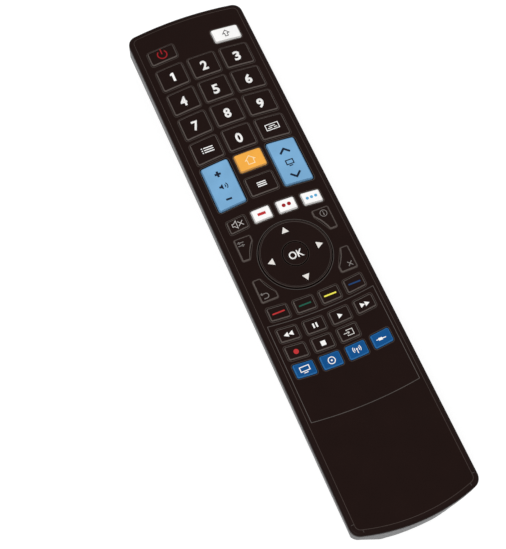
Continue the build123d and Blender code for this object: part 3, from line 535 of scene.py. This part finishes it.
# Subtitle key: a box with two short lines under a long one
subtitle_line = 0.32
subtitle_box = [(10.9, 50.6), (16.0, 50.6), (16.0, 53.1), (10.9, 53.1)]
subtitle_mark = stroke(subtitle_box, width=0.3, closed=True)
for x, y, length in ((12.4, 51.4, 1.7), (14.6, 51.4, 1.3), (13.45, 52.2, 2.4)):
    subtitle_mark += block(x, y, length, subtitle_line)
key_print("subtitle_mark", "subtitle_key", subtitle_mark, "white")

# Volume rocker: plus and minus with a loudspeaker between them
wave_x, wave_y, wave_line = -13.6, 35.1, 0.36
key_print("volume_plus", "volume_rocker", cross(-13.7, 40.6, span=2.45, width=0.85, angle=0), "navy")
key_print("volume_minus", "volume_rocker", block(-13.7, 29.55, width=2.3, height=0.8), "navy")
speaker = [(-15.3, 34.7), (-14.7, 34.7), (-13.8, 33.9), (-13.8, 36.3), (-14.7, 35.5), (-15.3, 35.5)]
volume_mark = [speaker]
for radius, steps in ((0.8, 8), (1.6, 10)):
    volume_mark += stroke(arc(wave_x, wave_y, radius, -45, 45, steps), wave_line)
key_print("volume_mark", "volume_rocker", volume_mark, "navy")

# Channel rocker: two chevrons with a screen on its foot between them
for name, points, width in (
    ("channel_up", [(11.4, 39.45), (13.4, 41.3), (15.4, 39.45)], 0.85),
    ("channel_down", [(11.5, 30.45), (13.5, 28.6), (15.5, 30.45)], 0.83),
):
    key_print(name, "channel_rocker", stroke(points, width), "navy")
screen = stroke([(12.0, 34.4), (14.8, 34.4), (14.8, 36.2), (12.0, 36.2)], width=0.42, closed=True)
channel_mark = screen + block(13.4, 33.7, width=1.5, height=0.4)
key_print("channel_mark", "channel_rocker", channel_mark, "navy")

# Home key: a house's outline. Menu key: three bars
house = [
    (-1.9, 41.8), (0.0, 43.5), (1.9, 41.8), (1.25, 41.8), (1.25, 40.0), (-1.25, 40.0), (-1.25, 41.8),
]
key_print("home_mark", "home_key", stroke(house, width=0.32, closed=True), "pale_orange")
menu_places = ((0, 31.6), (0, 30.8), (0, 30.0))
key_print("menu_mark", "menu_key", repeated(block, menu_places, 3.6, 0.4), "white")

# Mute key: a loudspeaker's outline and a cross
mute = [(-16.9, 18.25), (-16.2, 18.25), (-15.2, 17.25), (-15.2, 20.35), (-16.2, 19.35), (-16.9, 19.35)]
mute_mark = stroke(mute, width=0.24, closed=True)
mute_mark += cross(-13.65, 18.8, span=2.7, width=0.26, angle=45)
key_print("mute_mark", "mute_key", mute_mark, "ash")

# White keys: a bar, two dots and three dots
key_print("app_mark_1", "app_key_1", block(-4.99, 19.4, width=3.2, height=1.1), "red")
key_print("app_mark_2", "app_key_2", repeated(disc, ((3.9, 19.4), (6.0, 19.4)), 0.75), "deep_red")
three_places = ((13.2, 18.75), (14.9, 18.75), (16.6, 18.75))
key_print("app_mark_3", "app_key_3", repeated(disc, three_places, 0.6), "sky")

# Tools key: two sliders
slider_x, slider_length, slider_line = -16.9, 2.5, 0.26
knob_width, knob_height = 0.45, 0.95
tools_mark = []
for y, knob_x in ((11.45, -17.4), (10.25, -16.4)):
    tools_mark += block(slider_x, y, slider_length, slider_line)
    tools_mark += block(knob_x, y, knob_width, knob_height)
key_print("tools_mark", "tools_key", tools_mark, "silver")

# Info key: a dot over a stem, in a circle
info_x, info_line = 16.2, 0.34
info_mark = block(info_x, 11.55, info_line, info_line)
info_mark += block(info_x, 10.6, info_line, height=1.0)
info_mark += ring(info_x, 10.9, radius=1.3, width=0.22, steps=32)
key_print("info_mark", "info_key", info_mark, "silver")

# Return key: an arrow that turns back
bend_x, upper_y, middle_y, lower_y = -16.4, -10.15, -11.1, -12.05
return_line = 0.28
return_mark = stroke(arc(bend_x, middle_y, 0.95, -90, 90, 10), return_line)
return_mark += stroke([(bend_x, upper_y), (-17.7, upper_y)], return_line)
return_mark += triangle(-17.9, upper_y, length=0.7, half=0.6, angle=180)
return_mark += stroke([(bend_x, lower_y), (-17.5, lower_y)], return_line)
key_print("return_mark", "return_key", return_mark, "silver")

# Exit key: a cross
key_print("exit_mark", "exit_key", cross(16.75, -11.15, span=2.4, width=0.3, angle=45), "silver")

# Navigation ring: four arrows. OK key: its two letters
for name, x, y, angle in (
    ("arrow_up", 0.0, 10.15, 90),
    ("arrow_left", -9.75, 0.0, 180),
    ("arrow_down", 0.0, -10.15, 270),
    ("arrow_right", 9.75, 0.0, 0),
):
    key_print(name, "nav_ring", triangle(x, y, length=2.4, half=1.4, angle=angle), "pearl")
text_print("ok_mark", "ok_key", "OK", (0.1, -0.35), (5.55, 3.05), bold=0.018)

# Colour keys: a bar on each
for colour, x, y in (
    ("red", -14.9, -18.65), ("green", -4.95, -19.4), ("yellow", 4.95, -19.4), ("blue", 14.9, -18.65),
):
    key_print(colour + "_bar", colour + "_key", block(x, y, width=4.7, height=0.56), colour)

# Transport keys: rewind, pause, play, fast forward, record, stop and source
wind_triangle = (1.75, 0.95)
rewind_mark = repeated(triangle, ((-15.9, -27.5), (-14.1, -27.5)), *wind_triangle, 180)
key_print("rewind_mark", "rewind_key", rewind_mark, "white")
key_print("pause_mark", "pause_key", repeated(block, ((-5.5, -28.05), (-4.3, -28.05)), 0.6, 1.8), "white")
key_print("play_mark", "play_key", triangle(4.9, -28.05, length=1.7, half=1.0, angle=0), "white")
forward_mark = repeated(triangle, ((14.0, -27.5), (15.8, -27.5)), *wind_triangle, 0)
key_print("forward_mark", "fast_forward_key", forward_mark, "white")
key_print("record_mark", "record_key", disc(-15.1, -34.4, radius=0.95), "red")
key_print("stop_mark", "stop_key", block(-5.0, -35.2, width=1.8, height=1.8), "white")
source_y, source_line = -35.05, 0.22
source_box = [(4.3, -34.3), (4.3, -34.0), (6.6, -34.0), (6.6, -36.1), (4.3, -36.1), (4.3, -35.8)]
source_mark = stroke(source_box, source_line)
source_mark += stroke([(3.0, source_y), (4.9, source_y)], source_line)
source_mark += triangle(5.0, source_y, length=0.7, half=0.5, angle=0)
key_print("source_mark", "source_key", source_mark, "pearl")

# Mode keys: a screen on its foot, a disc, an aerial and a plug
tv_screen = [(-16.6, -42.1), (-13.2, -42.1), (-13.2, -40.4), (-16.6, -40.4)]
tv_mark = stroke(tv_screen, width=0.32, closed=True)
tv_mark += block(-14.9, -42.75, width=1.6, height=0.3)
key_print("tv_mode_mark", "tv_mode_key", tv_mark, "white")
disc_place = (-4.95, -42.15)
disc_mark = ring(*disc_place, radius=1.25, width=0.32) + disc(*disc_place, radius=0.35)
key_print("disc_mode_mark", "disc_mode_key", disc_mark, "white")
aerial_x, aerial_y, aerial_line = 4.95, -41.75, 0.26
aerial = block(aerial_x, -42.7, width=0.3, height=1.3)
aerial += disc(aerial_x, aerial_y, radius=0.32)
for radius in (0.9, 1.5):
    for start, end in ((-40, 40), (140, 220)):
        aerial += stroke(arc(aerial_x, aerial_y, radius, start, end, 8), aerial_line)
key_print("tuner_mode_mark", "tuner_mode_key", aerial, "white")
plug_y = -41.55
plug = []
for x, length, height in ((14.3, 1.5, 0.95), (15.7, 1.4, 0.35), (13.1, 0.9, 0.3)):
    plug += block(x, plug_y, length, height)
key_print("aux_mode_mark", "aux_mode_key", plug, "white")


# Lines on the face, with their widths: the joint round the panel, the lower frame, the ticks across the
# rim, the circle round the ring, and a thin painted highlight round each key's hole, where its rim catches
# light
PANEL_LINE = 0.16
FRAME_LINE = 0.24
TICK_LINE = 0.14
RING_LINE = 0.2
HOLE_HIGHLIGHT_WIDTH = 0.22
RING_LINE_RADIUS = 13.95
# Runs in each rounded corner and in each end of an outline
CORNER_STEPS = 6
END_STEPS = 40
# The lower frame: half its width, the heights of its two arched sides in the middle, and runs in each
FRAME_HALF = 20.7
FRAME_SIDES = (-23.45, -61.05)
FRAME_STEPS = 24
# Gaps between a key's outline and the middle of the painted highlight round its hole
KEY_GAP = 0.4
ROCKER_GAP = 0.6
# A wedge key's wall ends at least this far below its top, and its points agree in height and place
CHAMFER_LEAST = 0.05
LEVEL_TOLERANCE = 0.002
SPOT_DECIMALS = 3


def outline(inset):
    """Points on the body's plan outline, moved in by inset, round the pad's centre."""
    half = BODY_WIDTH / 2 - inset
    end = BODY_LENGTH / 2 - inset
    corner = max(CORNER_RADIUS - inset, LEAST_CORNER_RADIUS)
    loop = []
    for side, radius in ((1, FRONT_END_RADIUS - inset), (-1, BATTERY_END_RADIUS - inset)):
        centre_y = end - radius
        reach = radius - corner
        corner_x = half - corner
        corner_y = centre_y + math.sqrt(reach**2 - corner_x**2)
        tangent = math.degrees(math.atan2(corner_y - centre_y, corner_x))
        points = arc(corner_x, corner_y, corner, 0, tangent, CORNER_STEPS)
        points += arc(0, centre_y, radius, tangent, 180 - tangent, END_STEPS)[1:-1]
        points += arc(-corner_x, corner_y, corner, 180 - tangent, 180, CORNER_STEPS)
        loop += [(side * x, side * y - PAD_Y) for x, y in points]
    return loop


def arch(x):
    """How far a bowed row has left its middle's level at x."""
    return ARCH_RADIUS - math.sqrt(ARCH_RADIUS**2 - x**2)


def arched_loop(x, y, width, height, bow, corner, grow):
    """Points on a key's outline in a bowed row, moved out by grow; bow is 1 above the pad and -1 below."""
    left = x - width / 2 - grow
    right = x + width / 2 + grow
    low = y - height / 2 - grow
    high = y + height / 2 + grow
    radius = corner + grow
    flat = arc(right - radius, low + radius, radius, -90, 0, CORNER_STEPS)
    flat += arc(right - radius, high - radius, radius, 0, 90, CORNER_STEPS)
    flat += arc(left + radius, high - radius, radius, 90, 180, CORNER_STEPS)
    flat += arc(left + radius, low + radius, radius, 180, 270, CORNER_STEPS)
    return [(px, py - bow * arch(px)) for px, py in flat]


def wall_loop(name, grow):
    """Outline of a wedge key, read from its node where wall and chamfer meet, and moved out by grow."""
    points = [vertex.co / MM for vertex in nodes[name].data.vertices]
    wall_top = max(point.z for point in points if point.z < KEY_TOP - CHAMFER_LEAST)
    spots = set()
    for point in points:
        if abs(point.z - wall_top) < LEVEL_TOLERANCE:
            spots.add((round(point.x, SPOT_DECIMALS), round(point.y - PAD_Y, SPOT_DECIMALS)))
    middle_x = sum(x for x, y in spots) / len(spots)
    middle_y = sum(y for x, y in spots) / len(spots)
    loop = sorted(spots, key=lambda spot: math.atan2(spot[1] - middle_y, spot[0] - middle_x))
    # The second corner of each quad is on the outer side of the loop
    return [quad[1] for quad in stroke(loop, 2 * grow, closed=True)]


flat_print("panel_joint", "case", stroke(outline(BEZEL), PANEL_LINE, closed=True), "faint", FACE_Z)
frame_line = []
for side, side_y in zip((1, -1), FRAME_SIDES):
    for step in range(FRAME_STEPS + 1):
        x = side * (2 * FRAME_HALF * step / FRAME_STEPS - FRAME_HALF)
        frame_line.append((x, side_y + arch(x)))
flat_print("lower_frame_line", "case", stroke(frame_line, FRAME_LINE, closed=True), "line", FACE_Z)
rim_ticks = []
for side in (-1, 1):
    rim_ticks += stroke([(side * 22.0, -96.5), (side * 22.95, -96.5)], TICK_LINE)
    rim_ticks += stroke([(side * 20.0, -99.3), (side * 20.0, -100.2)], TICK_LINE)
flat_print("rim_ticks", "case", rim_ticks, "line", FACE_Z)
flat_print("ring_line", "case", ring(0, 0, RING_LINE_RADIUS, RING_LINE, steps=96), "line", FACE_Z)

# Rows of holes: columns, place along the body, width and length of a key, bow, corner radius and gap
outer_columns = (WIDE_COLUMNS[0], WIDE_COLUMNS[2])
middle_column = (WIDE_COLUMNS[1],)
hole_rows = [
    (outer_columns, 98.2, WIDE_KEY_WIDTH, 6.25, 1, WIDE_KEY_CORNER, KEY_GAP),
    (middle_column, 41.75, WIDE_KEY_WIDTH, 7.75, 1, WIDE_KEY_CORNER, KEY_GAP),
    (middle_column, 30.94, WIDE_KEY_WIDTH, 7.9, 1, WIDE_KEY_CORNER, KEY_GAP),
    (SMALL_COLUMNS, 19.4, *SMALL_KEY_SIZE, 1, SMALL_KEY_CORNER, KEY_GAP),
    (SMALL_COLUMNS, -19.4, *SMALL_KEY_SIZE, -1, SMALL_KEY_CORNER, KEY_GAP),
    (SMALL_COLUMNS, -28.04, *SMALL_KEY_SIZE, -1, SMALL_KEY_CORNER, KEY_GAP),
    (SMALL_COLUMNS[:3], -35.05, *SMALL_KEY_SIZE, -1, SMALL_KEY_CORNER, KEY_GAP),
    (SMALL_COLUMNS, -42.14, *SMALL_KEY_SIZE, -1, SMALL_KEY_CORNER, KEY_GAP),
    (outer_columns, 36.35, 11.2, 19.15, 1, WIDE_KEY_CORNER, ROCKER_GAP),
]
for row in range(4):
    y = DIGIT_ROW_Y - DIGIT_ROW_STEP * row
    hole_rows.append((WIDE_COLUMNS, y, WIDE_KEY_WIDTH, DIGIT_KEY_LENGTH, 1, WIDE_KEY_CORNER, KEY_GAP))
# The lines round the holes are a painted highlight on each hole's rim
hole_rim_highlights = []
for columns, y, width, height, bow, corner, gap in hole_rows:
    for x in columns:
        hole_rim_highlights += stroke(arched_loop(x, y, width, height, bow, corner, gap), HOLE_HIGHLIGHT_WIDTH, closed=True)
for name in ("tools_key", "info_key", "return_key", "exit_key"):
    hole_rim_highlights += stroke(wall_loop(name, KEY_GAP), HOLE_HIGHLIGHT_WIDTH, closed=True)
flat_print("hole_rim_highlights", "case", hole_rim_highlights, "faint", FACE_Z)


# Floor, backdrop and light: the floor's grey for light that bounces off it, its grey where the camera sees
# it, and the glow added there
FLOOR_PLAIN = 0.7
FLOOR_SEEN = 0.35
FLOOR_GLOW = 0.78
# Half the floor's side in metres, and how far it lies under the object in millimetres
FLOOR_HALF = 3.0
FLOOR_DROP = 0.05
# Strength of the even light from all sides
WORLD_LIGHT = 0.5


def new_shader(tree, kind, socket, value):
    """New shader node with one of its sockets set."""
    node = tree.nodes.new(kind)
    node.inputs[socket].default_value = value
    return node


def seen(tree):
    """Node whose value is 1 for camera, glossy and transmission rays, and 0 for the others."""
    path = tree.nodes.new("ShaderNodeLightPath")
    node, output = path, "Is Camera Ray"
    for ray in ("Is Glossy Ray", "Is Transmission Ray"):
        highest = tree.nodes.new("ShaderNodeMath")
        highest.operation = "MAXIMUM"
        link(tree, node, output, highest, 0)
        link(tree, path, ray, highest, 1)
        node, output = highest, "Value"
    return node


def switch(tree, node, output, off, on):
    """Shader that is off where a node's output is 0, and on where it is 1."""
    mix = tree.nodes.new("ShaderNodeMixShader")
    link(tree, node, output, mix, 0)
    link(tree, off, 0, mix, 1)
    link(tree, on, 0, mix, 2)
    return mix


def stage_material():
    """Pale ground that looks white from above, keeps the object's shadow, and is clear from below."""
    material, tree, bsdf = shader("stage_white")
    tree.nodes.remove(bsdf)
    plain = new_shader(tree, "ShaderNodeBsdfDiffuse", "Color", grey(FLOOR_PLAIN))
    soft = new_shader(tree, "ShaderNodeBsdfDiffuse", "Color", grey(FLOOR_SEEN))
    glow = new_shader(tree, "ShaderNodeEmission", "Strength", FLOOR_GLOW)
    both = tree.nodes.new("ShaderNodeAddShader")
    link(tree, soft, 0, both, 0)
    link(tree, glow, 0, both, 1)
    ground = switch(tree, seen(tree), "Value", plain, both)
    clear = tree.nodes.new("ShaderNodeBsdfTransparent")
    side = tree.nodes.new("ShaderNodeNewGeometry")
    sheet = switch(tree, side, "Backfacing", ground, clear)
    link(tree, sheet, 0, tree.nodes["Material Output"], "Surface")
    return material


floor_mesh = bpy.data.meshes.new("floor")
floor_corners = [
    (FLOOR_HALF * x, FLOOR_HALF * y, -FLOOR_DROP * MM) for x, y in ((-1, -1), (1, -1), (1, 1), (-1, 1))
]
floor_mesh.from_pydata(floor_corners, [], [(0, 1, 2, 3)])
floor_mesh.materials.append(stage_material())
floor = bpy.data.objects.new("floor", floor_mesh)
bpy.context.collection.objects.link(floor)

world = bpy.data.worlds.new("studio")
bpy.context.scene.world = world
world.use_nodes = True
tree = world.node_tree
lit = tree.nodes["Background"]
lit.inputs["Color"].default_value = grey(1.0)
lit.inputs["Strength"].default_value = WORLD_LIGHT
white = new_shader(tree, "ShaderNodeBackground", "Color", grey(1.0))
backdrop = switch(tree, seen(tree), "Value", lit, white)
link(tree, backdrop, 0, tree.nodes["World Output"], "Surface")


def lamp(name, place, size, energy):
    """Square area lamp that points at the middle of the object; metres and watts."""
    data = bpy.data.lights.new(name, "AREA")
    data.shape = "SQUARE"
    data.size = size
    data.energy = energy
    item = bpy.data.objects.new(name, data)
    bpy.context.collection.objects.link(item)
    item.location = place
    item.rotation_euler = (-Vector(place)).to_track_quat("-Z", "Y").to_euler()


lamp("key_lamp", (-0.5, -0.35, 0.9), size=0.6, energy=5.0)
lamp("fill_lamp", (0.6, 0.3, 0.8), size=0.8, energy=2.5)

bpy.context.scene.view_settings.view_transform = "Standard"
